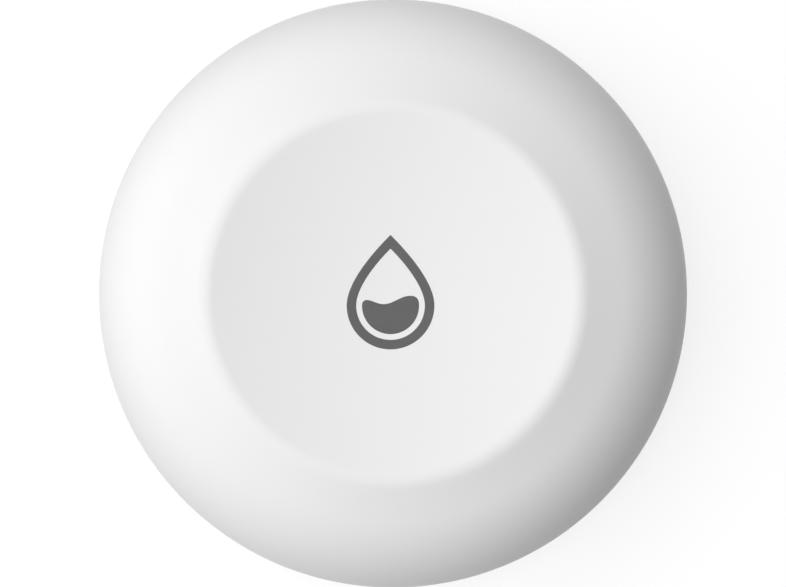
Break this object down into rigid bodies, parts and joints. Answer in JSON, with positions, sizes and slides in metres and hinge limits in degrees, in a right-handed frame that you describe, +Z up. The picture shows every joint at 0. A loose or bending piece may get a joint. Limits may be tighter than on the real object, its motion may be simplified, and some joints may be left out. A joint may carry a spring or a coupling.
{
  "type": "water leak sensor",
  "caption": "Round, low floor sensor for water leaks, with a dished press-to-pair top, metal probes underneath and a coin-slot battery cover.",
  "frame": {"origin": "centre of the underside, on the plane of the feet", "axes": "+Z up through the dish, +X through one of the two sensing screws"},
  "size_m": [0.05, 0.05, 0.015],
  "materials": {
    "shell_white": "gloss, moulded",
    "dish_white": "gloss, flexible",
    "plate_white": "satin, moulded",
    "base_white": "fine matt texture",
    "seal_rubber": "matt",
    "foam_black": "foam",
    "steel": "turned",
    "zinc_screw": "plated",
    "brass_socket": "turned",
    "board_green": "solder mask",
    "tray_black": "moulded",
    "spring_strip": "plated strip",
    "cell_steel": "drawn",
    "gasket_plastic": "moulded",
    "switch_black": "moulded",
    "switch_metal": "stamped",
    "chip_black": "moulded epoxy",
    "crystal_metal": "drawn",
    "light_lens": "clear resin",
    "pipe_clear": "clear plastic",
    "capacitor_tan": "fired",
    "resistor_black": "glazed"
  },
  "bodies": {
    "housing": {"top_shell": "shell_white", "dish_skin": "dish_white", "base_shell": "base_white", "base_seal": "seal_rubber", "probe_screws": "steel", "probe_seals": "seal_rubber", "probe_sockets": "brass_socket", "circuit_board": "board_green", "board_screws": "zinc_screw", "battery_tray": "tray_black", "positive_contacts": "spring_strip", "negative_contact": "spring_strip", "cell_can": "cell_steel", "cell_gasket": "gasket_plastic", "cell_cap": "cell_steel", "switch_body": "switch_black", "switch_frame": "switch_metal", "switch_dome": "switch_metal", "radio_chip": "chip_black", "crystal": "crystal_metal", "antenna": "spring_strip", "status_light": "light_lens", "light_pipe": "pipe_clear", "capacitors": "capacitor_tan", "resistors": "resistor_black"},
    "press_button": {"press_plate": "plate_white"},
    "plunger": {"switch_plunger": "switch_black"},
    "cover": {"battery_cover": "base_white", "cover_seal": "seal_rubber", "cell_pad": "foam_black"}
  },
  "joints": [
    {"name": "press_button", "type": "slide", "parent": "housing", "child": "press_button", "axis": [0, 0, 1], "range_m": [-0.0003, 0], "stiffness_N_per_m": 4000, "deforming": ["dish_skin"]},
    {"name": "switch_plunger", "type": "slide", "parent": "housing", "child": "plunger", "axis": [0, 0, 1], "range_m": [-0.00025, 0], "deforming": ["switch_dome"]},
    {"name": "battery_cover_turn", "type": "hinge", "parent": "housing", "child": "cover", "pos_m": [0, 0, 0], "axis": [0, 0, -1], "range_deg": [0, 40]}
  ],
  "couplings": [
    {"joint": "switch_plunger", "follows": "press_button", "ratio": 0.8333}
  ]
}
